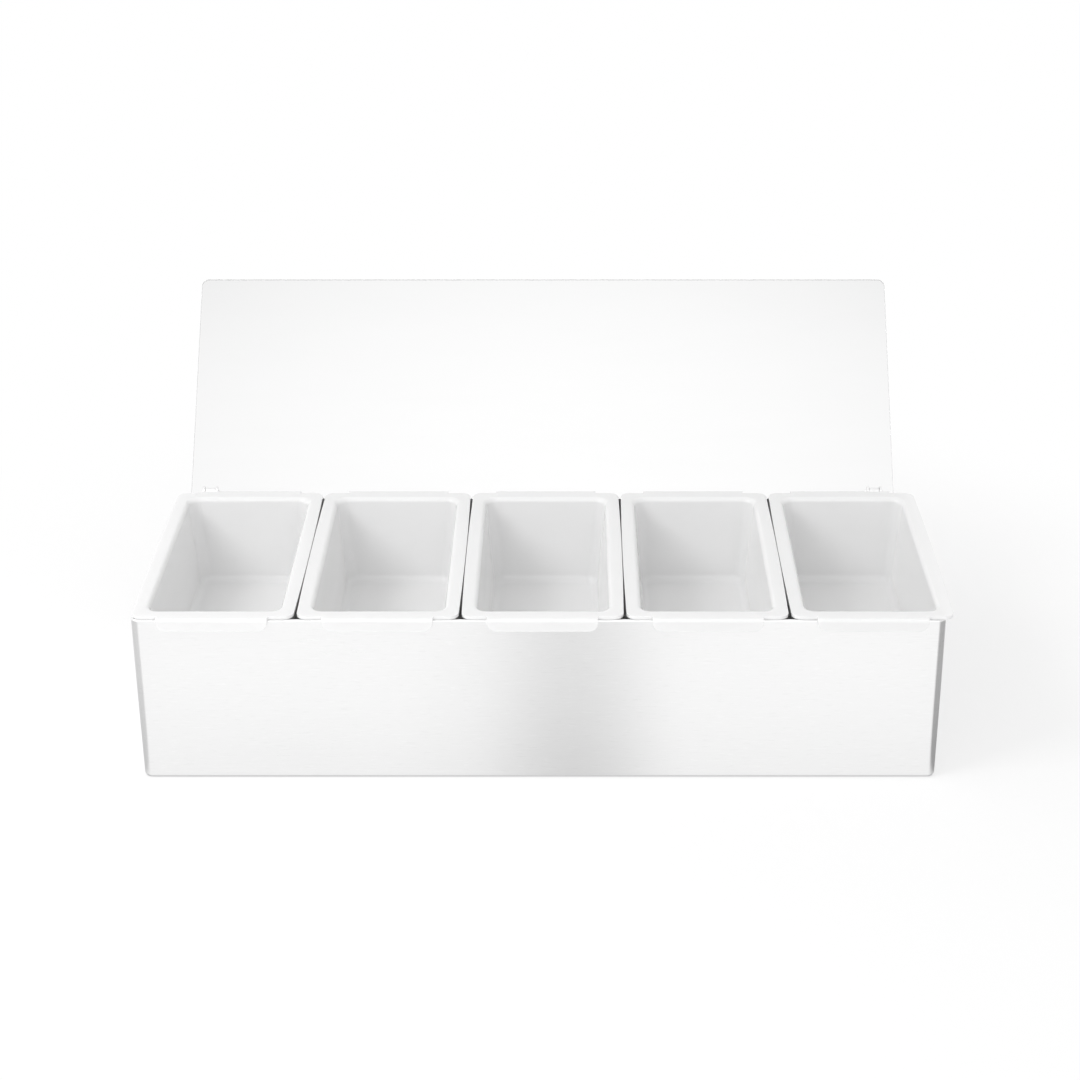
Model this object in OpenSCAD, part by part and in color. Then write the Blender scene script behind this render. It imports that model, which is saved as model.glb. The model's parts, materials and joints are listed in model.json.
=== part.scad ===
// Countertop condiment caddy: a hemmed steel tray, five moulded inserts that hang in it by their
// rims, and one clear lid on two riveted hinges. The lid stands open, leaning on its stop.
// Origin: centre of the tray's flat underside. +X runs along the tray, +Y to the back, +Z up.

/* [Tray] */
// Outside width of the tray
tray_w = 500; // [420:1:620]
// Outside depth of the tray, front to back
tray_d = 185; // [150:1:200]
// Height of the tray's hemmed top edge
tray_h = 112; // [90:1:130]
// Thickness of the steel sheet
sheet_t = 1.0; // [0.6:0.1:1.4]
// Outside radius of the four upright corner bends
corner_bend_r = 5; // [4:0.5:9]
// Outside radius of the bend between walls and floor
base_bend_r = 2.5; // [1.8:0.1:3.5]
// How far the hem is folded down inside the walls
hem_drop = 8; // [5:0.5:12]
// Gap left between wall and hem
hem_gap = 0.4; // [0.2:0.1:0.8]

/* [Inserts] */
// How far the row of rims reaches past the tray's right side
rim_overhang = 5; // [0:0.5:8]
// Running gap between neighbouring rims at mid-length
rim_gap = 0.3; // [0.3:0.1:1]
// How far each long side of a rim bows outward
rim_bow = 1.1; // [0:0.1:2]
// Width of the rim flange at its ends
rim_flange = 9; // [8:0.5:12]
// Thickness of the rim flange
rim_t = 2.2; // [1.6:0.1:3]
// Radius of the rim's outside corners, seen from above
rim_corner_r = 6; // [3:0.5:9]
// Rounding along the rim's outside edge
rim_edge_r = 0.8; // [0.4:0.1:1]
// Rounding from the rim's top down into the mouth
mouth_edge_r = 3; // [1:0.5:4]
// Height from the insert's underside to the rim's top
insert_h = 62; // [40:1:70]
// Wall thickness of an insert
insert_wall = 2; // [1.4:0.1:2.6]
// Draft of the insert's walls, in degrees
insert_draft = 5; // [2:0.1:6]
// Inside radius of the insert's upright corners
insert_corner_r = 8; // [6.5:0.5:11]
// Inside radius between the insert's walls and floor
insert_floor_r = 5; // [3:0.5:6]
// Gap between the rim flange and the hem it rests on
seat_gap = 0.3; // [0.2:0.1:0.6]

/* [Insert lips] */
// Width of the lip at the middle of each short side
lip_w = 68; // [50:1:76]
// How far a lip reaches past the tray's face
lip_reach = 4; // [3.2:0.1:5]
// How far a lip hangs down from the rim's top
lip_drop = 8.5; // [6:0.5:11]
// Thickness of a lip
lip_t = 1.6; // [1.2:0.1:2]
// Radius of a lip's lower corners
lip_corner_r = 6; // [3:0.5:6]

/* [Lid] */
// Width of the lid
lid_w = 486; // [400:1:600]
// From the hinge axis to the lid's free edge
lid_reach = 160; // [130:1:190]
// Thickness of the clear sheet
lid_t = 2; // [1.5:0.1:3]
// Radius of the lid's corners
lid_corner_r = 5; // [2:0.5:10]
// Gap between the closed lid and the rims
lid_gap = 0.5; // [0.3:0.1:1.5]
// How far the lid swings from closed to its stop, in degrees
lid_open = 132; // [115:1:140]

/* [Hinges] */
// From the side of lid or tray, whichever is narrower, to the middle of a hinge
hinge_inset = 14; // [13:1:60]
// From the tray's back face to the hinge axis
axis_back = 10; // [9.5:0.1:14]
// Radius of the hinge pin
pin_r = 1.25; // [1:0.05:1.5]
// Radial running clearance of the pin in the leaf's eye
pin_clear = 0.05; // [0.02:0.01:0.1]
// Radius of the rounded ear round the pin
ear_r = 3.4; // [3:0.1:4]
// Thickness of the bracket's sheet
bracket_t = 1.5; // [1:0.1:2]
// Width of bracket and leaf
hinge_w = 22; // [20:1:30]
// Length of the bracket on the tray's back wall, below the ears
bracket_h = 22; // [20:1:30]
// Thickness of the leaf under the lid's tail
leaf_t = 1.2; // [0.8:0.1:1.4]
// Outside radius of the leaf's eye
eye_r = 2.5; // [2.1:0.1:2.8]
// Width of the leaf's eye
eye_w = 6.4; // [5:0.1:8]
// Running clearance between moving faces of the hinge
play = 0.4; // [0.3:0.05:0.5]

/* [Rivets] */
// Shank radius of a rivet
rivet_r = 1.5; // [1.2:0.1:2]
// Radius of a rivet's domed head
rivet_head_r = 3; // [2.4:0.1:3.4]
// Height of a rivet's domed head
rivet_head_h = 1.3; // [0.8:0.1:1.6]
// Distance between the two rivets of a pair
rivet_spacing = 14; // [12:1:16]
// Clearance of a rivet's shank in its hole
rivet_clear = 0.05; // [0.02:0.01:0.1]

/* [Hidden] */

$fn = 48;
INSERTS = 5;
LEFT = -1;
RIGHT = 1;
EPS = 0.01;

// Inserts: the row starts flush with the tray's left side and shares its width equally.
insert_pitch = (tray_w + rim_overhang) / INSERTS;
rim_half_w = (insert_pitch - rim_gap) / 2 - rim_bow;
rim_half_d = tray_d / 2;
rim_top = tray_h + seat_gap + rim_t;
insert_bottom = rim_top - insert_h;
insert_taper = (insert_h - insert_wall) * tan(insert_draft);
mouth_half_w = rim_half_w - rim_flange;
mouth_half_d = rim_half_d - rim_flange;

// Inside radius of the bend between a lip's top and its hanging part
lip_bend_r = 1;

// Outline resolution: segments of a corner, of a bowed side and of a rounded edge
corner_steps = 5;
side_steps = 8;
edge_steps = 4;

// Hinge axis: the closed lid passes over the ears, and opens until its tail meets the brackets.
lid_under = ear_r + play;
axis_y = tray_d / 2 + axis_back;
axis_z = rim_top + lid_gap - lid_under;
plate_face = axis_back - bracket_t;
stop_gap = 0.3;
lid_tail = (plate_face - stop_gap + lid_under * sin(lid_open)) / -cos(lid_open);
hinge_x = min(lid_w, tray_w) / 2 - hinge_inset;

// Leaf: a plate under the lid's tail, clear of the round ears in front and of the stop behind
leaf_margin = 2.2;
leaf_start = ear_r;
leaf_end = lid_tail - leaf_margin;
leaf_under = lid_under - leaf_t;
leaf_corner_r = 2.5;
// Where the neck of the leaf leaves the round of its eye, in degrees from the leaf's direction
neck_angle = 20;

// Ear: its back edge keeps clear of the leaf when open, and its front edge of the insert's lip.
ear_back_n = leaf_under - play;
ear_gap = eye_w + 2 * play;
lip_bottom = rim_top - axis_z - lip_drop;
lip_outside = lip_reach - axis_back;
bracket_bottom = lip_bottom - play - bracket_h;
bracket_corner_r = 3;
// Where the ear's front edge leaves its round, in degrees from straight back
ear_front_angle = 160;
pin_head_h = 0.9;
pin_head_r = pin_r + pin_head_h;

// Rivets of the bracket sit below the tail's stop line, those of the lid mid-way along the leaf.
rivet_margin = 4.5;
bracket_rivet_z = bracket_bottom + rivet_margin;
lid_rivet_y = (leaf_start + leaf_end) / 2;
inner_head_h = 0.7;
inner_head_r = rivet_r + inner_head_h;

// Place in the hinge's YZ plane of a point along the open lid and above its underside's side
function lid_point(along, up) =
    [-along * cos(lid_open) + up * sin(lid_open), along * sin(lid_open) + up * cos(lid_open)];

// How far down the open lid a line at height up above the axis meets the bracket's plate
function reach_to_plate(up) = (plate_face + up * sin(lid_open)) / -cos(lid_open);

function insert_x(index) = -tray_w / 2 + (index - 0.5) * insert_pitch;

// Closed outline with round corners and bowed long sides, as points at height z
function corner_arc(cx, cy, r, from, z) =
    [for (i = [0 : corner_steps])
        [cx + r * cos(from + 90 * i / corner_steps), cy + r * sin(from + 90 * i / corner_steps), z]];

function bowed_side(half_w, reach, bow, side, z) =
    [for (i = [1 : side_steps - 1])
        let (y = side * reach * (2 * i / side_steps - 1))
        [side * (half_w + bow * (1 - pow(y / reach, 2))), y, z]];

function ring(half_w, half_d, r, bow, z) = concat(
    corner_arc(half_w - r, half_d - r, r, 0, z),
    corner_arc(r - half_w, half_d - r, r, 90, z),
    bowed_side(half_w, half_d - r, bow, LEFT, z),
    corner_arc(r - half_w, r - half_d, r, 180, z),
    corner_arc(half_w - r, r - half_d, r, 270, z),
    bowed_side(half_w, half_d - r, bow, RIGHT, z));

// Skin over rings round the Z axis, closed at either end by triangles about its middle
module loft(rings) {
    count = len(rings[0]);
    last = len(rings) - 1;
    start_middle = len(rings) * count;
    end_middle = start_middle + 1;
    start_cap = [for (i = [0 : count - 1]) [start_middle, i, (i + 1) % count]];
    end_cap = [for (i = [0 : count - 1]) [end_middle, last * count + (i + 1) % count, last * count + i]];
    sides = [for (row = [0 : last - 1]) for (i = [0 : count - 1])
        let (next = (i + 1) % count, low = row * count, high = low + count)
        each [[low + i, high + i, high + next], [low + i, high + next, low + next]]];
    polyhedron(points = concat([for (one = rings) each one],
                               [[0, 0, rings[0][0][2]], [0, 0, rings[last][0][2]]]),
               faces = concat(start_cap, sides, end_cap));
}

module rounded_rect(w, h, r) {
    translate([r - w / 2, -h / 2]) square([w - 2 * r, h]);
    translate([-w / 2, r - h / 2]) square([w, h - 2 * r]);
    for (sx = [LEFT, RIGHT]) for (sy = [-1, 1])
        translate([sx * (w / 2 - r), sy * (h / 2 - r)]) circle(r);
}

// Spherical cap as a half outline, for a turned head
module cap_outline(r, h) {
    ball_r = (r * r + h * h) / (2 * h);
    intersection() {
        translate([0, h - ball_r]) circle(ball_r, $fn = 96);
        square([r, h]);
    }
}

// Turned along +Z from the head's seat at 0: head above, shank below, upset end past its far side
module rivet(head_r, head_h, shank_r, grip, end_r, end_h) {
    rotate_extrude() {
        cap_outline(head_r, head_h);
        translate([0, -grip - EPS]) square([shank_r, grip + 2 * EPS]);
        translate([0, -grip]) mirror([0, 1]) cap_outline(end_r, end_h);
    }
}

// Children drawn in the closed lid's frame, at the angle at which the lid rests open
module on_lid() {
    translate([0, axis_y, axis_z]) rotate([-lid_open, 0, 0]) children();
}

// Children drawn in YZ and given a width along X, centred on x
module across(x, width) {
    translate([x - width / 2, 0, 0]) rotate([90, 0, 90]) linear_extrude(width) children();
}

// Cross-section of the tray's wall, with x counted out from the centre of the corner bend
module wall_section() {
    fold_r = sheet_t + hem_gap / 2;
    fold_x = corner_bend_r - fold_r;
    fold_z = tray_h - fold_r;
    base_x = corner_bend_r - base_bend_r;
    translate([corner_bend_r - sheet_t, base_bend_r]) square([sheet_t, fold_z - base_bend_r]);
    translate([fold_x - fold_r, tray_h - hem_drop]) square([sheet_t, fold_z - tray_h + hem_drop]);
    translate([fold_x, fold_z]) intersection() {
        difference() {
            circle(fold_r);
            circle(hem_gap / 2);
        }
        translate([-fold_r, 0]) square([2 * fold_r, fold_r]);
    }
    translate([base_x, base_bend_r]) intersection() {
        difference() {
            circle(base_bend_r);
            circle(base_bend_r - sheet_t);
        }
        translate([0, -base_bend_r]) square(base_bend_r);
    }
    square([base_x, sheet_t]);
}

module tray_shell() {
    run_x = tray_w - 2 * corner_bend_r;
    run_y = tray_d - 2 * corner_bend_r;
    for (turn = [0, 1, 2, 3]) {
        sx = (turn == 0 || turn == 3) ? 1 : -1;
        sy = turn < 2 ? 1 : -1;
        translate([sx * run_x / 2, sy * run_y / 2, 0])
            rotate([0, 0, 90 * turn]) rotate_extrude(angle = 90) wall_section();
    }
    for (side = [LEFT, RIGHT]) {
        translate([side * run_x / 2, side * run_y / 2, 0])
            rotate([90, 0, side == RIGHT ? 0 : 180]) linear_extrude(run_y) wall_section();
        translate([side * run_x / 2, -side * run_y / 2, 0])
            rotate([90, 0, side == RIGHT ? -90 : 90]) linear_extrude(run_x) wall_section();
    }
    translate([-run_x / 2, -run_y / 2, 0]) cube([run_x, run_y, sheet_t]);
}

module bracket_rivet_holes(depth) {
    for (side = [LEFT, RIGHT]) for (pair = [-1, 1])
        translate([side * hinge_x + pair * rivet_spacing / 2, tray_d / 2, axis_z + bracket_rivet_z])
            rotate([-90, 0, 0])
                translate([0, 0, -depth]) cylinder(r = rivet_r + rivet_clear, h = 2 * depth);
}

module steel_tray() {
    color("silver") difference() {
        tray_shell();
        bracket_rivet_holes(2 * sheet_t);
    }
}

// Moulded shell: outside of floor and wall, under, round and over the rim, then down the inside
module insert_shell() {
    foot_w = mouth_half_w - insert_taper;
    foot_d = mouth_half_d - insert_taper;
    out_r = insert_floor_r + insert_wall / 2;
    corner_out = insert_corner_r + insert_wall;
    floor_top = insert_bottom + insert_wall;
    flange_under = rim_top - rim_t;
    outside = [for (i = [0 : edge_steps])
        let (a = 90 * i / edge_steps, inset = out_r * (1 - sin(a)))
        ring(foot_w + insert_wall - inset, foot_d + insert_wall - inset, corner_out - inset, 0,
             insert_bottom + out_r * (1 - cos(a)))];
    neck = [ring(mouth_half_w + insert_wall, mouth_half_d + insert_wall, corner_out, 0,
                 flange_under)];
    under = [ring(rim_half_w - rim_edge_r / 2, rim_half_d - rim_edge_r / 2, rim_corner_r, rim_bow,
                  flange_under),
             ring(rim_half_w, rim_half_d, rim_corner_r, rim_bow, flange_under + rim_edge_r / 2)];
    over = [for (i = [0 : edge_steps])
        let (a = 90 * i / edge_steps, inset = rim_edge_r * (1 - cos(a)))
        ring(rim_half_w - inset, rim_half_d - inset, rim_corner_r, rim_bow,
             rim_top - rim_edge_r * (1 - sin(a)))];
    mouth = [for (i = [0 : edge_steps])
        let (a = 90 * i / edge_steps, grow = mouth_edge_r * (1 - sin(a)))
        ring(mouth_half_w + grow, mouth_half_d + grow, insert_corner_r + grow, 0,
             rim_top - mouth_edge_r * (1 - cos(a)))];
    inside = [for (i = [0 : edge_steps + 1])
        let (a = 90 * i / (edge_steps + 1), inset = insert_floor_r * (1 - cos(a)))
        ring(foot_w - inset, foot_d - inset, insert_corner_r - inset, 0,
             floor_top + insert_floor_r * (1 - sin(a)))];
    loft(concat(outside, neck, under, over, mouth, inside));
}

// Lip at a short side: flush with the rim's top, rounded over and hanging clear of the tray
module insert_lip() {
    bend_r = lip_t + lip_bend_r;
    outer = rim_half_d + lip_reach;
    root = 2 * rim_edge_r;
    intersection() {
        across(0, lip_w) {
            translate([rim_half_d - root, rim_top - lip_t]) square([lip_reach + root - bend_r, lip_t]);
            translate([outer - lip_t, rim_top - lip_drop]) square([lip_t, lip_drop - bend_r]);
            translate([outer - bend_r, rim_top - bend_r]) intersection() {
                difference() {
                    circle(bend_r);
                    circle(bend_r - lip_t);
                }
                square(bend_r);
            }
        }
        translate([0, outer + EPS, rim_top + (lip_corner_r - lip_drop) / 2]) rotate([90, 0, 0])
            linear_extrude(lip_reach + root + 2 * EPS)
                rounded_rect(lip_w, lip_drop + lip_corner_r, lip_corner_r);
    }
}

module insert(index) {
    color("whitesmoke") translate([insert_x(index), 0, 0]) {
        insert_shell();
        insert_lip();
        mirror([0, 1, 0]) insert_lip();
    }
}

// Lid, drawn closed: hinge axis at the origin, free edge towards -Y, tail towards +Y
module lid_rivet_places() {
    for (side = [LEFT, RIGHT]) for (pair = [-1, 1])
        translate([side * hinge_x + pair * rivet_spacing / 2, lid_rivet_y, lid_under]) children();
}

module lid_panel() {
    color([0.9, 0.95, 0.97, 0.4]) on_lid() difference() {
        translate([0, (lid_tail - lid_reach) / 2, lid_under])
            linear_extrude(lid_t) rounded_rect(lid_w, lid_reach + lid_tail, lid_corner_r);
        lid_rivet_places() translate([0, 0, -lid_t]) cylinder(r = rivet_r + rivet_clear, h = 3 * lid_t);
    }
}

// Outline of one ear in YZ about the hinge axis
module ear_section() {
    ear_top = lip_bottom - play;
    circle(ear_r);
    polygon([[-plate_face - bracket_t / 2, ear_top], [lip_outside + play, ear_top],
             [ear_r * cos(ear_front_angle), ear_r * sin(ear_front_angle)], [0, 0],
             lid_point(0, ear_back_n),
             lid_point(-reach_to_plate(ear_back_n), ear_back_n),
             [-plate_face - bracket_t / 2, lid_point(-reach_to_plate(ear_back_n), ear_back_n)[1]]]);
}

// Bracket on the tray's back wall: a riveted plate with two ears that carry the pin
module hinge_bracket(side) {
    plate_top = lip_bottom - play;
    color("lightgray") difference() {
        translate([side * hinge_x, axis_y, axis_z]) difference() {
            union() {
                translate([0, -plate_face, plate_top - bracket_h / 2]) rotate([90, 0, 0])
                    linear_extrude(bracket_t) rounded_rect(hinge_w, bracket_h, bracket_corner_r);
                for (ear = [-1, 1])
                    across(ear * (ear_gap + bracket_t) / 2, bracket_t) ear_section();
            }
            across(0, ear_gap + 4 * bracket_t) circle(pin_r + pin_clear / 2);
        }
        bracket_rivet_holes(3 * bracket_t);
    }
}

// Leaf under the lid's tail, with a narrow neck to the eye that turns on the pin
module hinge_leaf(side) {
    length = leaf_end - leaf_start;
    color("lightgray") on_lid() translate([side * hinge_x, 0, 0]) difference() {
        union() {
            translate([0, leaf_start + length / 2, leaf_under])
                linear_extrude(leaf_t) rounded_rect(hinge_w, length, leaf_corner_r);
            across(0, eye_w) {
                circle(eye_r);
                polygon([[0, eye_r], [leaf_start + leaf_t, lid_under], [leaf_start + leaf_t, leaf_under],
                         [eye_r * cos(neck_angle), eye_r * sin(neck_angle)]]);
            }
        }
        across(0, 2 * eye_w) circle(pin_r + pin_clear);
        for (pair = [-1, 1])
            translate([pair * rivet_spacing / 2, lid_rivet_y, leaf_under - leaf_t])
                cylinder(r = rivet_r + rivet_clear, h = 3 * leaf_t);
    }
}

// Pin across both ears, with a domed head at its outer end and an upset inner end
module hinge_pin(side) {
    grip = ear_gap + 2 * bracket_t;
    color("gray") translate([side * (hinge_x + grip / 2), axis_y, axis_z]) rotate([0, side * 90, 0])
        rivet(pin_head_r, pin_head_h, pin_r, grip, pin_head_r, pin_head_h);
}

module bracket_rivets() {
    grip = bracket_t + sheet_t;
    color("gray") for (side = [LEFT, RIGHT]) for (pair = [-1, 1])
        translate([side * hinge_x + pair * rivet_spacing / 2, axis_y - plate_face,
                   axis_z + bracket_rivet_z])
            rotate([-90, 0, 0])
                rivet(rivet_head_r, rivet_head_h, rivet_r, grip, inner_head_r, inner_head_h);
}

// Rivets of the lid: head on the lid, end upset flush in the leaf
module lid_rivets() {
    color("gray") on_lid() lid_rivet_places() rotate_extrude() {
        translate([0, lid_t]) cap_outline(rivet_head_r, rivet_head_h);
        translate([0, -leaf_t]) square([rivet_r, lid_t + leaf_t + EPS]);
    }
}

steel_tray();
insert(1);  // insert_1
insert(2);  // insert_2
insert(3);  // insert_3
insert(4);  // insert_4
insert(5);  // insert_5
lid_panel();
hinge_bracket(LEFT);  // hinge_bracket_left
hinge_bracket(RIGHT);  // hinge_bracket_right
hinge_leaf(LEFT);  // hinge_leaf_left
hinge_leaf(RIGHT);  // hinge_leaf_right
hinge_pin(LEFT);  // hinge_pin_left
hinge_pin(RIGHT);  // hinge_pin_right
bracket_rivets();
lid_rivets();
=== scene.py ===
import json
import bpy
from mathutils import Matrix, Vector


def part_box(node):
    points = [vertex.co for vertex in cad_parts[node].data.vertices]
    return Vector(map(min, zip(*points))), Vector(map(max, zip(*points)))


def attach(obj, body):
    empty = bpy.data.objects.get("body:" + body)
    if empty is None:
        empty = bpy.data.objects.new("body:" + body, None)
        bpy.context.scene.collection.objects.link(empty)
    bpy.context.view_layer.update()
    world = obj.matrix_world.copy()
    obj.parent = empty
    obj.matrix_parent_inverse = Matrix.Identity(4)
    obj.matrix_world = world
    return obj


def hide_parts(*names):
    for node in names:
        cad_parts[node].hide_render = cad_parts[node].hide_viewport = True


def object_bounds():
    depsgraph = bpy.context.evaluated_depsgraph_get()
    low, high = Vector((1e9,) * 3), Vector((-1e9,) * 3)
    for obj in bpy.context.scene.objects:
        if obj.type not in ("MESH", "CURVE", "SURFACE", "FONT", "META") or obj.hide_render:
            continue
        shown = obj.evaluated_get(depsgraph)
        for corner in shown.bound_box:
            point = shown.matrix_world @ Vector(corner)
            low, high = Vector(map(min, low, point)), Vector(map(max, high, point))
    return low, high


bl_info = {
    "name": "Condiment caddy",
    "version": (1, 0, 0),
    "blender": (4, 5, 0),
    "location": "View3D > Sidebar > Caddy",
    "description": "Models a steel condiment caddy with moulded inserts and a clear lid",
    "category": "Object",
}

from math import cos, pi, radians, sin, tan

import bmesh
import bpy
from bpy.props import FloatProperty, FloatVectorProperty, IntProperty, PointerProperty
from mathutils import Matrix, Vector

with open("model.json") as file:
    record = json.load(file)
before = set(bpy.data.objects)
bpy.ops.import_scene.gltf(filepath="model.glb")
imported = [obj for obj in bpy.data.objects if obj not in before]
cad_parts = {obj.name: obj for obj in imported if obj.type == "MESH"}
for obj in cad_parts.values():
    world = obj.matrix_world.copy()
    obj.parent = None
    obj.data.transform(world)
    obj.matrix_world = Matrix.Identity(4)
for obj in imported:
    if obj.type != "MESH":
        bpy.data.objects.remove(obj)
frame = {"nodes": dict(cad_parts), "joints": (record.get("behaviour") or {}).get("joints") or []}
CAD_BOX = [list(corner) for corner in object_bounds()]

MM = 0.001
HAIR = 0.02 * MM  # places closer than this count as one
SQUARE_ON = 0.9  # least part of a normal along the axis that its face looks along
SHARP = radians(40)  # faces that meet at more than this have an edge between them
WHITE = (1.0, 1.0, 1.0)
FRONT, BACK = -1, 1
INSERTS = ["insert_1", "insert_2", "insert_3", "insert_4", "insert_5"]
FITTINGS = [
    "hinge_bracket_left", "hinge_bracket_right", "hinge_leaf_left", "hinge_leaf_right",
    "hinge_pin_left", "hinge_pin_right", "bracket_rivets", "lid_rivets",
]


def corners(node):
    """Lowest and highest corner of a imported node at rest."""
    low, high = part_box(node)
    return Vector(low), Vector(high)


def joint(name):
    return next(one for one in frame["joints"] if one["name"] == name)


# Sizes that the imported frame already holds
INSERT_LOW, INSERT_HIGH = corners("insert_1")
TRAY_LOW, TRAY_HIGH = corners("steel_tray")
LID_LOW, LID_HIGH = corners("lid_panel")
HINGE_AXIS = Vector(joint("lid_hinge")["pos_m"])
LID_OPENING = radians(-joint("lid_hinge")["range_deg"][0])
OPEN_LID = Matrix.Translation((0.0, HINGE_AXIS.y, HINGE_AXIS.z)) @ Matrix.Rotation(
    -LID_OPENING, 4, "X")


def length(name, text, default, low=0.0, high=1.0):
    """A length property in metres."""
    return FloatProperty(name=name, description=text, default=default, min=low, max=high,
                         subtype="DISTANCE", unit="LENGTH", precision=5)


def share(name, text, default, low=0.0, high=1.0):
    """A plain number, such as a roughness or a strength."""
    return FloatProperty(name=name, description=text, default=default, min=low, max=high)


def tone(name, text, default):
    return FloatVectorProperty(name=name, description=text, default=default, size=3, min=0.0,
                               max=1.0, subtype="COLOR")


class CaddyInsertSettings(bpy.types.PropertyGroup):
    """Sizes and finish of a moulded insert."""

    flange: length("Rim width", "Width of the rim flange at its ends", 9 * MM)
    rim: length("Rim thickness", "Thickness of the rim flange", 2.2 * MM)
    bow: length("Bow", "How far each long side of the rim bows outward", 0.7 * MM)
    rim_corner: length("Rim corner", "Radius of the rim's corners from above", 6 * MM)
    mouth_corner: length("Mouth corner", "Radius of the mouth's corners from above", 8 * MM)
    mouth_edge: length("Mouth edge", "Rounding from the rim's top into the mouth", 3 * MM)
    wall: length("Wall", "Thickness of walls and floor", 2 * MM)
    draft: FloatProperty(name="Draft", description="Lean of the walls", default=radians(5),
                         min=0.0, max=radians(15), subtype="ANGLE", unit="ROTATION")
    floor_round: length("Floor rounding", "Inside radius between walls and floor", 5 * MM)
    lip_width: length("Lip width", "Width of the lip at a short side", 68 * MM)
    lip_reach: length("Lip reach", "How far a lip reaches past the rim", 4 * MM)
    lip_drop: length("Lip drop", "How far a lip hangs below the rim's top", 8.5 * MM)
    lip_wall: length("Lip thickness", "Thickness of a lip", 1.6 * MM)
    lip_corner: length("Lip corner", "Radius of a lip's lower corners", 6 * MM)
    lip_bend: length("Lip bend", "Outside radius where a lip turns down", 2.4 * MM)
    edge: length("Edge break", "Rounding along the remaining edges", 0.4 * MM)
    arc_steps: IntProperty(name="Arc steps", description="Steps round a corner", default=8,
                           min=3, max=24)
    plastic: tone("Plastic", "Colour of the moulded plastic", (0.84, 0.84, 0.84))


class CaddyLidSettings(bpy.types.PropertyGroup):
    """Sizes and finish of the clear lid."""

    sheet: length("Sheet", "Thickness of the clear sheet", 2 * MM)
    gap: length("Gap", "From the hinge axis to the lid's underside", 3.8 * MM)
    reach: length("Reach", "From the hinge axis to the free edge", 160 * MM)
    corner: length("Corner", "Radius of the lid's corners", 5 * MM)
    polish: length("Polished edge", "Rounding along the lid's edges", 0.4 * MM)
    hole: length("Rivet hole", "Radius of a rivet hole", 1.55 * MM)
    arc_steps: IntProperty(name="Arc steps", description="Steps round a corner", default=10,
                           min=3, max=32)
    tint: tone("Tint", "Colour of the clear sheet", (0.99, 0.99, 0.99))
    # The edge tint is painted shade: grey along the sheet's edges
    edge: tone("Edge tint", "Colour of the sheet's matt edges", (0.6, 0.6, 0.6))


class CaddySteelSettings(bpy.types.PropertyGroup):
    """Finish of the brushed tray and of the hinges."""

    steel: tone("Steel", "Colour of the tray", (0.955, 0.955, 0.955))
    fittings: tone("Fittings", "Colour of brackets, leaves, pins and rivets", (0.92, 0.92, 0.92))
    line: length("Brush line", "Typical width of a brush line", 0.7 * MM)
    stroke: length("Stroke", "Typical length of a brush line", 25 * MM)
    roughness: share("Roughness", "Roughness across the brush lines", 0.3)


class CaddyStageSettings(bpy.types.PropertyGroup):
    """Floor, lamps and the photograph's camera."""

    floor: tone("Floor", "Colour of the floor", (0.9, 0.9, 0.9))
    shadow: share("Shadow", "How much of the shadow the floor shows", 0.45)
    # Painted shade: how much darker gloss finds the floor round the tray
    painted_contact_shade: share("Contact", "How much darker reflections find the floor at the tray", 0.09)
    # Painted reflections: grey patches beside the left and right bends, seen only by gloss
    left_painted_shade: share("Left card", "How dark the left bend finds the floor beside it", 0.34)
    right_painted_shade: share("Right card", "How dark the right bend finds the floor beside it", 0.6)
    # Painted fall-off, seen only through the clear lid
    falloff: share("Fall-off", "How fast the floor behind the clear lid darkens", 0.68)
    world: share("Surround", "Strength of the even light all round", 0.85, 0.0, 2.0)
    key: FloatProperty(name="Key lamp", description="Power of the lamp at the upper left",
                       default=13.0, min=0.0, max=500.0, subtype="POWER", unit="POWER")
    fill: FloatProperty(name="Fill lamp", description="Power of the lamp before the tray",
                        default=4.5, min=0.0, max=500.0, subtype="POWER", unit="POWER")
    away: length("Camera distance", "From the tray's front face to the camera", 1.1989, 0.1, 10)
    height: length("Camera height", "Camera above the floor", 0.7331, 0.0, 10)
    aside: length("Camera offset", "Camera to the right of the tray's middle", 0.0206, -5, 5)
    pitch: FloatProperty(name="Pitch", description="How far the camera looks down",
                         default=radians(25.306), min=0.0, max=radians(90), subtype="ANGLE",
                         unit="ROTATION")
    lens: FloatProperty(name="Lens", description="Focal length in millimetres", default=73.646,
                        min=10.0, max=300.0)
    shift: FloatProperty(name="Shift", description="Sideways shift of the lens", default=-0.0298,
                         min=-0.5, max=0.5)


class Signal:
    """A shader socket that takes arithmetic; every operation adds its Math node."""

    def __init__(self, finish, socket):
        self.finish = finish
        self.socket = socket

    def math(self, operation, *values):
        return self.finish.add("ShaderNodeMath", *values, operation=operation)

    def __add__(self, other):
        return self.math("ADD", self, other)

    def __sub__(self, other):
        return self.math("SUBTRACT", self, other)

    def __rsub__(self, other):
        return self.math("SUBTRACT", other, self)

    def __mul__(self, other):
        return self.math("MULTIPLY", self, other)

    def __abs__(self):
        return self.math("ABSOLUTE", self)

    __radd__ = __add__
    __rmul__ = __mul__


def find(sockets, key):
    """The usable socket with that name or number."""
    usable = [one for one in sockets if one.enabled]
    return usable[key] if isinstance(key, int) else next(one for one in usable if one.name == key)


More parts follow.
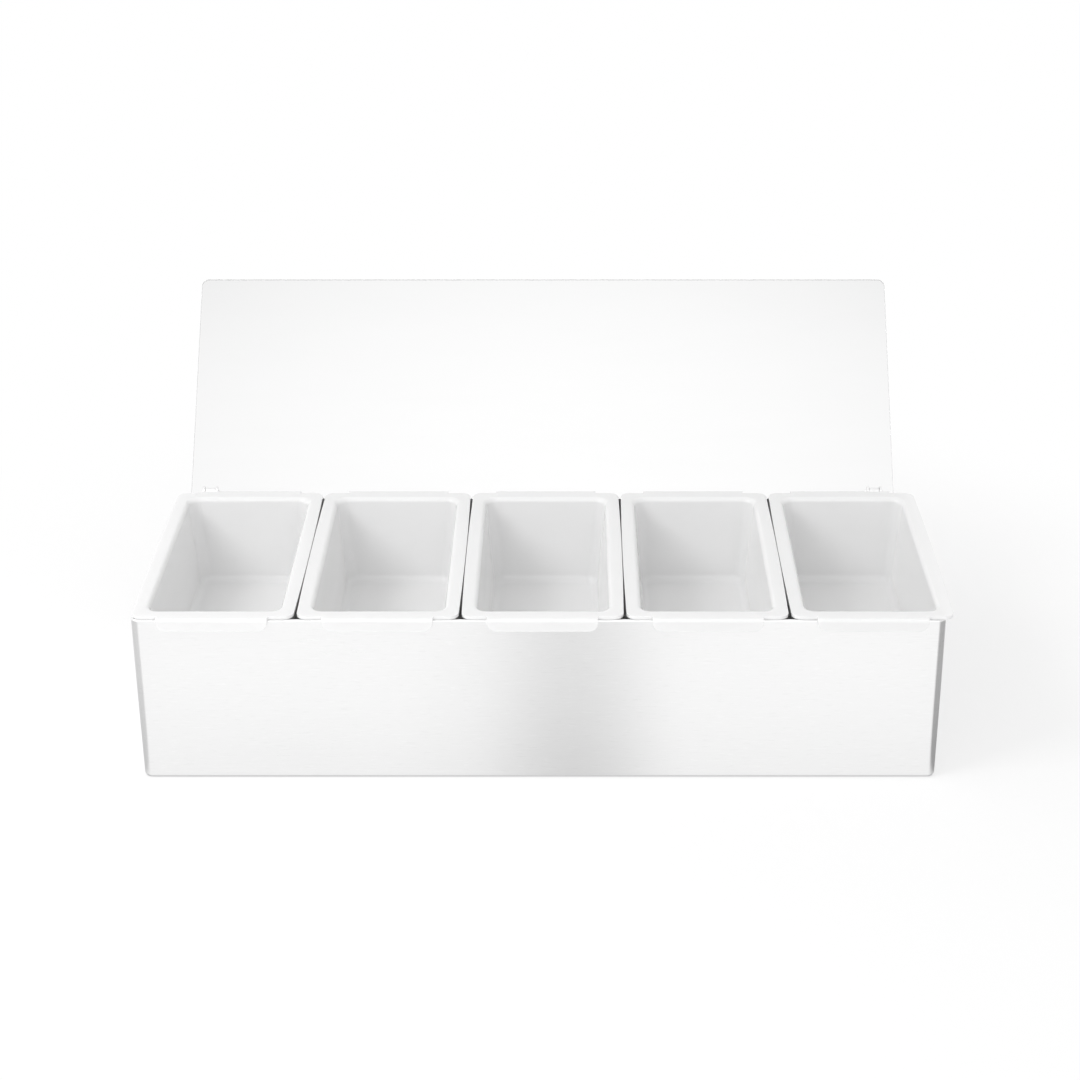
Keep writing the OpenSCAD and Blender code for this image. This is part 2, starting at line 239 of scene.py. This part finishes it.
class Finish:
    """A node material with one Principled shader, built up call by call."""

    def __init__(self, name):
        self.material = bpy.data.materials.new(name)
        self.material.use_nodes = True
        self.tree = self.material.node_tree
        self.shader = self.tree.nodes["Principled BSDF"]
        self.surface = self.tree.nodes["Material Output"].inputs["Surface"]

    def link(self, value, socket):
        """Links a signal to an input socket, or sets it to a number, vector or colour."""
        if isinstance(value, Signal):
            self.tree.links.new(value.socket, socket)
        elif socket.type == "RGBA":
            socket.default_value = (*value, 1.0)
        else:
            socket.default_value = value

    def add(self, kind, *values, sockets=None, output=0, **settings):
        """Adds a node: its settings first, then its sockets in order or by name."""
        node = self.tree.nodes.new(kind)
        for key, value in settings.items():
            setattr(node, key, value)
        for socket, value in zip(node.inputs, values):
            self.link(value, socket)
        for key, value in (sockets or {}).items():
            self.link(value, find(node.inputs, key))
        return Signal(self, find(node.outputs, output))

    def place(self, scale=(1.0, 1.0, 1.0)):
        """Object coordinates in metres, stretched by a scale along each axis."""
        spot = self.add("ShaderNodeTexCoord", output="Object")
        return self.add("ShaderNodeMapping", sockets={"Vector": spot, "Scale": scale})

    def noise(self, vector, detail=2.0, roughness=0.5):
        """Noise from 0 to 1, about 0.5 on average."""
        return self.add("ShaderNodeTexNoise", sockets={"Vector": vector, "Scale": 1.0,
                                                       "Detail": detail, "Roughness": roughness})

    def part(self, vector, letter):
        """One of a vector's three numbers."""
        return self.add("ShaderNodeSeparateXYZ", vector, output=letter)

    def fade(self, value, low, high):
        """0 below low, 1 above high and a smooth step between."""
        return self.add("ShaderNodeMapRange", interpolation_type="SMOOTHSTEP",
                        sockets={"Value": value, "From Min": low, "From Max": high})

    def blend(self, mask, first, second):
        """Colour mix: first where the mask is 0, second where it is 1."""
        return self.add("ShaderNodeMix", data_type="RGBA",
                        sockets={"Factor": mask, "A": first, "B": second})

    def bump(self, height, depth, strength):
        return self.add("ShaderNodeBump",
                        sockets={"Height": height, "Distance": depth, "Strength": strength})

    def set(self, **sockets):
        """Sets the Principled shader's sockets; an underscore in a name stands for a space."""
        for key, value in sockets.items():
            self.link(value, self.shader.inputs[key.replace("_", " ")])
        return self.material


def shades(colour, dark, light):
    """Two colours, darker and lighter than the one given."""
    return [value * dark for value in colour], [min(1.0, value * light) for value in colour]


def brushed_steel(settings):
    """Sheet brushed along its length: fine level lines, and slow cloudiness between them."""
    finish = Finish("brushed steel")
    across, along = 1.0 / settings.line, 1.0 / settings.stroke
    walls = finish.noise(finish.place((along, along, across)), detail=3.0)
    level = finish.noise(finish.place((along, across, 0.0)), detail=3.0)
    normal = finish.add("ShaderNodeNewGeometry", output="Normal")
    facing_up = finish.fade(abs(finish.part(normal, "Z")), 0.6, 0.8)
    lines = walls + (level - walls) * facing_up
    # Flecks are shorter and thicker than the lines, and only the noise's peaks and dips show
    flecks = finish.noise(finish.place((3.0 * along, 3.0 * along, 0.7 * across)), detail=1.0)
    fleck = finish.fade(flecks, 0.62, 0.7) - finish.fade(flecks, 0.38, 0.3)
    cloud = finish.noise(finish.place((9.0, 9.0, 14.0)), detail=3.0)
    line_share, cloud_share, fleck_share, ground = 0.4, 0.2, 0.4, 0.25
    shade = lines * line_share + cloud * cloud_share + ground + fleck * fleck_share
    dark, light = shades(settings.steel, 0.965, 1.025)
    return finish.set(
        Base_Color=finish.blend(shade, dark, light),
        Metallic=1.0,
        Roughness=settings.roughness + (lines - 0.5) * 0.1 + (cloud - 0.5) * 0.04,
        Anisotropic=0.7,
        Anisotropic_Rotation=0.25,
        Normal=finish.bump(lines, 0.01 * MM, 0.3),
    )


def satin_steel(settings):
    """Small pressed and turned fittings: satin metal with fine tumbling marks."""
    finish = Finish("satin steel")
    grain = finish.noise(finish.place((1400.0, 1400.0, 1400.0)), detail=3.0)
    cloud = finish.noise(finish.place((160.0, 160.0, 160.0)))
    dark, light = shades(settings.fittings, 0.9, 1.05)
    return finish.set(
        Base_Color=finish.blend(cloud, dark, light),
        Metallic=1.0,
        Roughness=0.3 + grain * 0.14,
        Normal=finish.bump(grain, 0.01 * MM, 0.3),
    )


def moulded_plastic(settings):
    """White moulded plastic: a satin skin with a faint texture and slow flow marks."""
    finish = Finish("moulded plastic")
    skin = finish.noise(finish.place((2600.0, 2600.0, 2600.0)))
    flow = finish.noise(finish.place((26.0, 12.0, 40.0)), detail=3.0)
    dark, light = shades(settings.plastic, 0.975, 1.015)
    return finish.set(
        Base_Color=finish.blend(flow, dark, light),
        Roughness=0.12 + skin * 0.08 + (flow - 0.5) * 0.06,
        IOR=1.49,
        Subsurface_Weight=0.3,
        Subsurface_Radius=(1.0, 1.0, 1.0),
        Subsurface_Scale=6 * MM,
        Normal=finish.bump(skin, 0.012 * MM, 0.4),
    )


def clear_plastic(settings):
    """Clear sheet: painted grey shade only along its edges, with wiping marks that only the gloss
    shows.
    """
    finish = Finish("clear plastic")
    wiping = finish.noise(finish.place((14.0, 60.0, 60.0)), detail=4.0, roughness=0.6)
    dark, light = shades(settings.tint, 0.99, 1.01)
    facing = finish.add("ShaderNodeTexCoord", output="Normal")
    square_on = finish.add("ShaderNodeVectorMath", facing, OPEN_LID.to_3x3().col[2],
                           operation="DOT_PRODUCT", output="Value")
    sheet = finish.fade(abs(square_on), 0.5, 0.95)
    polished, wiped, sawn = 0.01, 0.03, 0.5
    # The edges' grey base colour is painted shade; their roughness makes them matt
    return finish.set(
        Base_Color=finish.blend(sheet, settings.edge, finish.blend(wiping, dark, light)),
        Roughness=polished + wiping * wiped + (1.0 - sheet) * sawn,
        IOR=1.49,
        Transmission_Weight=1.0,
    )


# How the floor's material shades: places in metres, depths as shares of white
FLOOR_PAINTED_SHADE_UNDER_TRAY = 0.8
FLOOR_PAINTED_CONTACT_REACH = 0.15
FLOOR_PAINTED_REFLECTION_BANDS = ((0.026, 0.075, 0.2), (-0.01, 0.1, 0.07))  # middle, half width and depth
FLOOR_PAINTED_SIDE_SHADE_SLANT = 0.4
# Painted fall-off seen only through the clear lid: its brightest spot, its levels and its share
FLOOR_PAINTED_LIGHT_SPOT = 0.3  # behind the tray
FLOOR_BRIGHTEST, FLOOR_DIMMEST = 1.01, 0.8
FLOOR_DEPTH_SHARE = 0.35  # of the fall-off from side to side
FLOOR_SHADOW_FADE = (0.3, 0.6)  # distances between which the shadow fades out


def pale_floor(settings):
    """Pale floor that shades off to plain white away from the object.

    Bright metal mirrors painted reflections in it, grey bands before the tray and at its sides,
    and painted shade under and round the tray. The clear lid shows its painted slow fall-off.
    """
    finish = Finish("pale floor")
    finish.set(Base_Color=settings.floor, Roughness=0.9, Specular_IOR_Level=0.0)
    spot = finish.add("ShaderNodeTexCoord", output="Object")
    x, y = finish.part(spot, "X"), finish.part(spot, "Y")
    outward, forward = abs(x) - TRAY_HIGH.x, TRAY_LOW.y - y
    outside = outward.math("MAXIMUM", outward, abs(y) - TRAY_HIGH.y)

    # To gloss only, painted shade: dark under the tray, and a little darker all round it
    under = finish.fade(outside, 2 * MM, -4 * MM) * FLOOR_PAINTED_SHADE_UNDER_TRAY
    painted_contact_shade = finish.fade(outside, FLOOR_PAINTED_CONTACT_REACH, 0.0) * settings.painted_contact_shade
    # Painted reflection, seen only by gloss: a soft grey band before the front, darkest a little
    # to the right of its middle
    before = finish.fade(forward, 0.0, 2 * MM)
    narrow, wide = (finish.fade(abs(x - middle), reach, 0.0) * depth
                    for middle, reach, depth in FLOOR_PAINTED_REFLECTION_BANDS)
    # Painted reflection, seen only by gloss: a grey patch at each side, its edge slanting outward
    # towards the front
    painted_side_shade = (finish.fade(outward - forward * FLOOR_PAINTED_SIDE_SHADE_SLANT, -4 * MM, 12 * MM)
              * finish.fade(y, TRAY_HIGH.y, 0.0))
    side = settings.left_painted_shade + finish.fade(x, -0.1, 0.1) * (
        settings.right_painted_shade - settings.left_painted_shade)
    mirrored = 1.0 - painted_contact_shade - under - (narrow + wide) * before - painted_side_shade * side

    # Through the clear lid only, a painted fall-off: brightest at one spot behind the tray, and
    # slowly darker round it
    behind = y - TRAY_HIGH.y - FLOOR_PAINTED_LIGHT_SPOT
    through = (FLOOR_BRIGHTEST - x * x * settings.falloff
               - behind * behind * settings.falloff * FLOOR_DEPTH_SHARE)
    through = through.math("MAXIMUM", through, FLOOR_DIMMEST)

    # A ray through rough plastic counts as a glossy one too, and is left to the clear part
    camera, glossy, clear = (finish.add("ShaderNodeLightPath", output=kind) for kind in (
        "Is Camera Ray", "Is Glossy Ray", "Is Transmission Ray"))
    glossy = glossy * (1.0 - clear)
    strength = camera + glossy * mirrored + clear * through
    white = finish.add("ShaderNodeEmission", sockets={"Color": WHITE, "Strength": strength})
    radius = finish.add("ShaderNodeVectorMath", spot, operation="LENGTH", output="Value")
    plain = 1.0 - settings.shadow * (1.0 - finish.fade(radius, *FLOOR_SHADOW_FADE))
    shown = camera * plain + glossy + clear
    principled = Signal(finish, finish.shader.outputs["BSDF"])
    finish.link(finish.add("ShaderNodeMixShader", shown, principled, white), finish.surface)
    return finish.material


def white_surround(strength):
    """White world to camera, gloss and clear plastic; its even light has its own strength."""
    world = bpy.context.scene.world or bpy.data.worlds.new("surround")
    bpy.context.scene.world = world
    world.use_nodes = True
    tree = world.node_tree
    tree.nodes.clear()
    path = tree.nodes.new("ShaderNodeLightPath")
    seen = path.outputs["Is Camera Ray"]
    for kind in ("Is Glossy Ray", "Is Transmission Ray"):
        either = tree.nodes.new("ShaderNodeMath")
        either.operation = "MAXIMUM"
        tree.links.new(seen, either.inputs[0])
        tree.links.new(path.outputs[kind], either.inputs[1])
        seen = either.outputs[0]
    level = tree.nodes.new("ShaderNodeMapRange")
    level.inputs["To Min"].default_value = strength
    level.inputs["To Max"].default_value = 1.0
    background = tree.nodes.new("ShaderNodeBackground")
    output = tree.nodes.new("ShaderNodeOutputWorld")
    tree.links.new(seen, level.inputs["Value"])
    tree.links.new(level.outputs["Result"], background.inputs["Strength"])
    background.inputs["Color"].default_value = (1.0, 1.0, 1.0, 1.0)
    tree.links.new(background.outputs["Background"], output.inputs["Surface"])


def deselect():
    if bpy.context.object and bpy.context.object.mode != "OBJECT":
        bpy.ops.object.mode_set(mode="OBJECT")
    bpy.ops.object.select_all(action="DESELECT")


def pick(kind, test):
    """Selects the vertices, edges or faces of the open mesh that pass a test."""
    bpy.ops.mesh.select_mode(type=kind)
    bpy.ops.mesh.select_all(action="DESELECT")
    mesh = bpy.context.edit_object.data
    grid = bmesh.from_edit_mesh(mesh)
    chosen = [one for one in {"VERT": grid.verts, "EDGE": grid.edges, "FACE": grid.faces}[kind]
              if test(one)]
    if not chosen:
        raise RuntimeError(f"nothing to select among the {kind} elements")
    for one in chosen:
        one.select_set(True)
    grid.select_flush_mode()
    bmesh.update_edit_mesh(mesh)


def near(first, second):
    return abs(first - second) < HAIR


def runs(edge, letter):
    """True where an edge of the open mesh runs along one axis."""
    reach = edge.verts[1].co - edge.verts[0].co
    return all(abs(value) < HAIR for value, name in zip(reach, "xyz") if name != letter)


def ends(edge, test):
    return all(test(vertex.co) for vertex in edge.verts)


def finish_edges(obj, width, segments=2):
    """Rounds the sharp edges that are left, and smooths the shading between them."""
    deselect()
    obj.select_set(True)
    bpy.context.view_layer.objects.active = obj
    bevel = obj.modifiers.new("edges", "BEVEL")
    bevel.width = width
    bevel.segments = segments
    bevel.limit_method = "ANGLE"
    bevel.angle_limit = SHARP
    bpy.ops.object.modifier_apply(modifier=bevel.name)
    bpy.ops.object.shade_smooth_by_angle(angle=SHARP)
    flats = obj.modifiers.new("flats", "WEIGHTED_NORMAL")
    flats.keep_sharp = True
    bpy.ops.object.modifier_apply(modifier=flats.name)


class InsertForm:
    """The outlines of one insert, centred on the Z axis, worked out from its packed box."""

    def __init__(self, settings):
        self.s = settings
        self.top = INSERT_HIGH.z
        self.bottom = INSERT_LOW.z
        self.rim_x = (INSERT_HIGH.x - INSERT_LOW.x) / 2 - settings.bow
        self.rim_y = (INSERT_HIGH.y - INSERT_LOW.y) / 2 - settings.lip_reach
        self.mouth_x = self.rim_x - settings.flange
        self.mouth_y = self.rim_y - settings.flange
        self.taper = (self.top - self.bottom - settings.wall) * tan(settings.draft)
        self.under = self.top - settings.rim

    def outlines(self):
        """Half width, half depth, corner radius, height and bow, from the floor's top outward."""
        s = self.s
        foot_x, foot_y = self.mouth_x - self.taper, self.mouth_y - self.taper
        outer_corner = s.mouth_corner + s.wall
        return [
            (foot_x, foot_y, s.mouth_corner, self.bottom + s.wall, 0.0),
            (self.mouth_x, self.mouth_y, s.mouth_corner, self.top, 0.0),
            (self.rim_x, self.rim_y, s.rim_corner, self.top, s.bow),
            (self.rim_x, self.rim_y, s.rim_corner, self.under, s.bow),
            (self.mouth_x + s.wall, self.mouth_y + s.wall, outer_corner, self.under, 0.0),
            (foot_x + s.wall, foot_y + s.wall, outer_corner, self.bottom, 0.0),
        ]

    def add_outline(self, half_x, half_y, radius, z, bow):
        """Adds one outline to the open mesh as a loop of edges without faces."""
        s = self.s
        long_cuts, short_cuts = 7, 2
        middle = (0.0, 0.0, z)
        bpy.ops.mesh.primitive_plane_add(size=2.0, location=middle)
        bpy.ops.transform.resize(value=(half_x, half_y, 1.0), center_override=middle)
        bpy.ops.mesh.bevel(offset=radius, segments=s.arc_steps, affect="VERTICES")
        bpy.ops.mesh.delete(type="ONLY_FACE")
        straight_x, straight_y = half_x - radius, half_y - radius
        pick("EDGE", lambda one: not one.link_faces and runs(one, "y"))
        bpy.ops.mesh.subdivide(number_cuts=long_cuts)
        pick("EDGE", lambda one: not one.link_faces and runs(one, "x"))
        bpy.ops.mesh.subdivide(number_cuts=short_cuts)
        # The two new points of each short side go where the lip's ends will be
        pick("VERT", lambda one: not one.link_faces and abs(one.co.x) < straight_x - HAIR
             and near(abs(one.co.y), half_y))
        lip_share = s.lip_width / 2 / (self.rim_x - s.rim_corner)
        bpy.ops.transform.resize(value=((short_cuts + 1) * lip_share, 1.0, 1.0),
                                 center_override=middle)
        if bow:
            pick("VERT", lambda one: not one.link_faces and near(one.co.y, 0.0))
            bpy.ops.transform.resize(
                value=((half_x + bow) / half_x, 1.0, 1.0), center_override=middle,
                use_proportional_edit=True, use_proportional_connected=True,
                proportional_edit_falloff="INVERSE_SQUARE", proportional_size=straight_y)

    def draw_shell(self):
        """Joins each outline to the one before by a band of faces, and closes both ends.

        Each is joined while it hangs high above the others, since two outlines in one plane
        may be joined with a twist, and is lowered into its place afterwards.
        """
        lift = 0.5
        join = bpy.ops.mesh.edge_face_add
        for half_x, half_y, radius, z, bow in self.outlines():
            self.add_outline(half_x, half_y, radius, z + lift, bow)
            pick("EDGE", lambda one: len(one.link_faces) < 2)
            join()
            join = bpy.ops.mesh.bridge_edge_loops
            pick("VERT", lambda one: one.co.z > lift)
            bpy.ops.transform.translate(value=(0.0, 0.0, -lift))
        pick("EDGE", lambda one: len(one.link_faces) < 2)
        bpy.ops.mesh.edge_face_add()
        bpy.ops.mesh.select_all(action="SELECT")
        bpy.ops.mesh.normals_make_consistent(inside=False)

    def add_lip(self, side):
        """Draws the lip out of one short side of the rim and turns it down."""
        s = self.s

        def on_rim_end(face):
            place = face.calc_center_median()
            return (face.normal.y * side > SQUARE_ON and place.z > self.under
                    and abs(place.x) < s.lip_width / 2 and abs(place.y) > self.rim_y - HAIR)

        def under_tip(face):
            root = self.rim_y + s.lip_reach - s.lip_wall
            return face.normal.z < -SQUARE_ON and face.calc_center_median().y * side > root

        def extrude(y, z):
            bpy.ops.mesh.extrude_region_move(TRANSFORM_OT_translate={"value": (0.0, y, z)})

        pick("FACE", on_rim_end)
        extrude(side * (s.lip_reach - s.lip_wall), 0.0)
        extrude(side * s.lip_wall, 0.0)
        pick("FACE", under_tip)
        extrude(0.0, s.rim - s.lip_drop)

    def round_edges(self):
        """Rounds each run of edges by its own radius; the small ones are left to the modifier."""
        s = self.s
        tip = self.rim_y + s.lip_reach
        low = self.top - s.lip_drop

        def rounded(test, radius, steps):
            pick("EDGE", test)
            bpy.ops.mesh.bevel(offset=radius, segments=steps, affect="EDGES")

        # The lips' lower corners, and the bends where the lips turn down
        rounded(lambda one: runs(one, "y") and ends(one, lambda v: near(v.z, low)),
                s.lip_corner, steps=6)
        rounded(lambda one: ends(one, lambda v: near(v.z, self.top) and near(abs(v.y), tip)),
                s.lip_bend, steps=4)
        # The floor, from below and from inside
        rounded(lambda one: ends(one, lambda v: near(v.z, self.bottom)),
                s.floor_round + s.wall / 2, steps=4)
        rounded(lambda one: ends(one, lambda v: near(v.z, self.bottom + s.wall)),
                s.floor_round, steps=5)
        # The mouth
        rounded(lambda one: ends(one, lambda v: near(v.z, self.top)
                                 and abs(v.x) < self.mouth_x + HAIR
                                 and abs(v.y) < self.mouth_y + HAIR), s.mouth_edge, steps=4)

    def build(self, name):
        """Models the insert in an emptied mesh and returns its object."""
        deselect()
        bpy.ops.mesh.primitive_plane_add(size=self.rim_x)
        obj = bpy.context.object
        obj.name = obj.data.name = name
        bpy.ops.object.mode_set(mode="EDIT")
        bpy.ops.mesh.select_all(action="SELECT")
        bpy.ops.mesh.delete(type="VERT")
        self.draw_shell()
        self.add_lip(FRONT)
        self.add_lip(BACK)
        self.round_edges()
        bpy.ops.object.mode_set(mode="OBJECT")
        finish_edges(obj, self.s.edge)
        return obj


def rivet_spots():
    """Places of the lid's rivets, measured from the hinge axis on the closed lid."""
    closing = OPEN_LID.inverted()
    points = [closing @ vertex.co for vertex in frame["nodes"]["lid_rivets"].data.vertices]
    spots = []
    for leaf in ("hinge_leaf_left", "hinge_leaf_right"):
        low, high = corners(leaf)
        middle = (low.x + high.x) / 2
        for side in (-1, 1):
            rivet = [one for one in points if 0.0 < (one.x - middle) * side < high.x - low.x]
            spots.append(sum(rivet, Vector()) / len(rivet))
    return spots


class LidForm:
    """The clear lid, drawn closed about its hinge axis and then swung open."""

    def __init__(self, settings):
        self.s = settings
        rise = LID_HIGH.z - LID_LOW.z
        self.whole = (rise - settings.sheet * abs(cos(LID_OPENING))) / sin(LID_OPENING)
        self.half_x = (LID_HIGH.x - LID_LOW.x) / 2

    def drill(self, lid):
        """Cuts the four rivet holes."""
        deselect()
        for spot in rivet_spots():
            bpy.ops.mesh.primitive_cylinder_add(vertices=48, radius=self.s.hole,
                                                depth=6 * self.s.sheet,
                                                location=(spot.x, spot.y, self.s.gap))
            cutter = bpy.context.object
            hole = lid.modifiers.new("hole", "BOOLEAN")
            hole.object = cutter
            hole.solver = "EXACT"
            bpy.context.view_layer.objects.active = lid
            bpy.ops.object.modifier_apply(modifier=hole.name)
            bpy.data.objects.remove(cutter)

    def build(self, name):
        s = self.s
        deselect()
        middle = (0.0, self.whole / 2 - s.reach, s.gap)
        bpy.ops.mesh.primitive_plane_add(size=2.0, location=middle)
        lid = bpy.context.object
        lid.name = lid.data.name = name
        bpy.ops.object.transform_apply()
        bpy.ops.object.mode_set(mode="EDIT")
        bpy.ops.mesh.select_all(action="SELECT")
        bpy.ops.transform.resize(value=(self.half_x, self.whole / 2, 1.0), center_override=middle)
        bpy.ops.mesh.bevel(offset=s.corner, segments=s.arc_steps, affect="VERTICES")
        bpy.ops.mesh.select_all(action="SELECT")
        bpy.ops.mesh.extrude_region_move(TRANSFORM_OT_translate={"value": (0.0, 0.0, s.sheet)})
        bpy.ops.mesh.select_all(action="SELECT")
        bpy.ops.mesh.normals_make_consistent(inside=False)
        bpy.ops.object.mode_set(mode="OBJECT")
        self.drill(lid)
        finish_edges(lid, s.polish, segments=3)
        lid.matrix_world = OPEN_LID
        bpy.ops.object.transform_apply()
        return lid


def dress(node, material):
    """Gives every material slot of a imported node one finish."""
    for one in frame["nodes"][node].material_slots:
        one.material = material


class CADDY_OT_tray(bpy.types.Operator):
    """Finish the folded steel tray with brush lines along its length"""

    bl_idname = "caddy.tray"
    bl_label = "Finish the steel tray"

    def execute(self, context):
        dress("steel_tray", brushed_steel(context.scene.caddy_steel))
        return {"FINISHED"}


class CADDY_OT_fittings(bpy.types.Operator):
    """Finish the brackets, leaves, pins and rivets of both hinges"""

    bl_idname = "caddy.fittings"
    bl_label = "Finish the hinge fittings"

    def execute(self, context):
        satin = satin_steel(context.scene.caddy_steel)
        for node in FITTINGS:
            dress(node, satin)
        return {"FINISHED"}


class CADDY_OT_inserts(bpy.types.Operator):
    """Model one moulded insert and copy it into each place"""

    bl_idname = "caddy.inserts"
    bl_label = "Model the inserts"

    def execute(self, context):
        settings = context.scene.caddy_insert
        first = InsertForm(settings).build("moulded_" + INSERTS[0])
        first.data.materials.append(moulded_plastic(settings))
        pieces = [first]
        for node in INSERTS[1:]:
            piece = first.copy()
            piece.data = first.data.copy()
            piece.name = piece.data.name = "moulded_" + node
            context.scene.collection.objects.link(piece)
            pieces.append(piece)
        for piece, node in zip(pieces, INSERTS):
            low, high = corners(node)
            piece.data.transform(Matrix.Translation(((low.x + high.x) / 2, 0.0, 0.0)))
            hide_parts(node)
            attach(piece, node)
        return {"FINISHED"}


class CADDY_OT_lid(bpy.types.Operator):
    """Model the clear lid with polished edges and drilled rivet holes"""

    bl_idname = "caddy.lid"
    bl_label = "Model the clear lid"

    def execute(self, context):
        settings = context.scene.caddy_lid
        lid = LidForm(settings).build("clear_lid")
        lid.data.materials.append(clear_plastic(settings))
        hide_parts("lid_panel")
        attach(lid, "lid")
        return {"FINISHED"}


def add_lamp(name, place, width, height, power):
    """Oblong soft lamp that faces the tray's upper half."""
    target = Vector((0.0, 0.0, 0.1))
    facing = (target - Vector(place)).to_track_quat("-Z", "Y").to_euler()
    bpy.ops.object.light_add(type="AREA", location=place, rotation=facing)
    lamp = bpy.context.object
    lamp.name = name
    lamp.data.shape = "RECTANGLE"
    lamp.data.size = width
    lamp.data.size_y = height
    lamp.data.energy = power


class CADDY_OT_stage(bpy.types.Operator):
    """Set up the floor, the lamps, the surround and the photograph's camera"""

    bl_idname = "caddy.stage"
    bl_label = "Set the stage"

    def execute(self, context):
        s = context.scene.caddy_stage
        floor_radius = 4.0
        floor_height = CAD_BOX[0][2] - 0.1 * MM
        deselect()
        bpy.ops.mesh.primitive_circle_add(vertices=96, radius=floor_radius, fill_type="NGON",
                                          location=(0.0, 0.0, floor_height))
        floor = bpy.context.object
        floor.name = "floor"
        floor.data.materials.append(pale_floor(s))
        add_lamp("key_lamp", place=(-1.3, -0.7, 1.5), width=0.8, height=0.8, power=s.key)
        add_lamp("fill_lamp", place=(-0.2, -1.6, 0.9), width=1.8, height=0.4, power=s.fill)
        white_surround(s.world)
        spot = (s.aside, TRAY_LOW.y - s.away, s.height)
        bpy.ops.object.camera_add(location=spot, rotation=(pi / 2 - s.pitch, 0.0, 0.0))
        camera = bpy.context.object
        camera.name = "photo_camera"
        camera.data.lens = s.lens
        camera.data.shift_x = s.shift
        context.scene.camera = camera
        context.scene.view_settings.view_transform = "Standard"
        return {"FINISHED"}


STEPS = (CADDY_OT_tray, CADDY_OT_fittings, CADDY_OT_inserts, CADDY_OT_lid, CADDY_OT_stage)
SETTINGS = {
    "Inserts": ("caddy_insert", CaddyInsertSettings),
    "Lid": ("caddy_lid", CaddyLidSettings),
    "Steel": ("caddy_steel", CaddySteelSettings),
    "Stage": ("caddy_stage", CaddyStageSettings),
}


class CADDY_PT_steps(bpy.types.Panel):
    """Lists the steps that make the caddy, and the sizes they use"""

    bl_idname = "CADDY_PT_steps"
    bl_label = "Condiment caddy"
    bl_space_type = "VIEW_3D"
    bl_region_type = "UI"
    bl_category = "Caddy"

    def draw(self, context):
        for step in STEPS:
            self.layout.operator(step.bl_idname)
        for title, (name, _) in SETTINGS.items():
            box = self.layout.box()
            box.label(text=title)
            group = getattr(context.scene, name)
            for key in group.bl_rna.properties.keys():
                if key not in {"rna_type", "name"}:
                    box.prop(group, key)


CLASSES = (*(group for _, group in SETTINGS.values()), *STEPS, CADDY_PT_steps)


def register():
    for one in CLASSES:
        bpy.utils.register_class(one)
    for name, group in SETTINGS.values():
        setattr(bpy.types.Scene, name, PointerProperty(type=group))


def unregister():
    for name, _ in SETTINGS.values():
        delattr(bpy.types.Scene, name)
    for one in reversed(CLASSES):
        bpy.utils.unregister_class(one)


def main():
    register()
    bpy.ops.caddy.tray()
    bpy.ops.caddy.fittings()
    bpy.ops.caddy.inserts()
    bpy.ops.caddy.lid()
    bpy.ops.caddy.stage()


if __name__ == "__main__":
    main()
